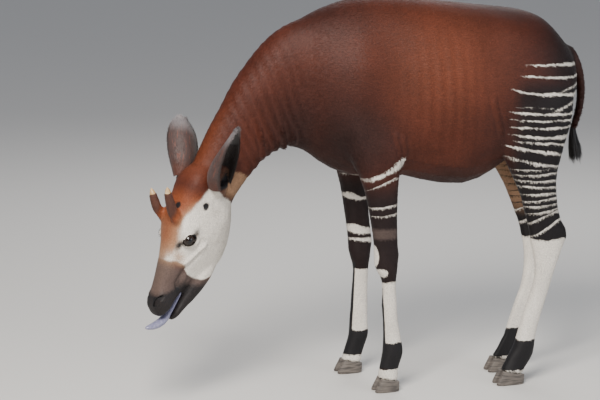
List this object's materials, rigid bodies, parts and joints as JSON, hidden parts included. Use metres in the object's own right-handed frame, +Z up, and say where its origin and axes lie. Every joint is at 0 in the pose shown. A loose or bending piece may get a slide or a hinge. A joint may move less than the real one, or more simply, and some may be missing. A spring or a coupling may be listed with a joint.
{
  "type": "okapi",
  "caption": "Life-size okapi bull, a still model of the whole animal standing with lowered head and tongue out, with ossicones, ears, striped legs, cloven hooves and tasselled tail.",
  "frame": {"origin": "middle of the bounding box at floor level, under the body", "axes": "+Z up, -X the way the body faces with the tail at +X, +Y towards the animal's right side"},
  "size_m": [1.793, 0.4954, 1.4856],
  "materials": {
    "coat": "short velvety hair, chestnut, with pale cheeks, a black muzzle and white and black-brown stripes on the legs",
    "ear_skin": "thin dark skin with short hair and a fringed rim",
    "eye": "wet, dark brown",
    "horn": "polished bare horn",
    "hoof": "dull grey-brown horn",
    "tongue": "moist, blue-grey",
    "tassel_hair": "long black hair in tapered locks"
  },
  "bodies": {
    "root": {"torso": "coat", "neck": "coat", "head": "coat", "foreleg_left": "coat", "foreleg_right": "coat", "hind_leg_left": "coat", "hind_leg_right": "coat", "tail": "coat", "ossicone_left": "coat", "ossicone_right": "coat", "ear_left": "ear_skin", "ear_right": "ear_skin", "eye_left": "eye", "eye_right": "eye", "ossicone_tip_left": "horn", "ossicone_tip_right": "horn", "hoof_front_left_outer": "hoof", "hoof_front_left_inner": "hoof", "hoof_front_right_outer": "hoof", "hoof_front_right_inner": "hoof", "hoof_hind_left_outer": "hoof", "hoof_hind_left_inner": "hoof", "hoof_hind_right_outer": "hoof", "hoof_hind_right_inner": "hoof", "tongue": "tongue", "tail_tassel": "tassel_hair"}
  },
  "joints": []
}
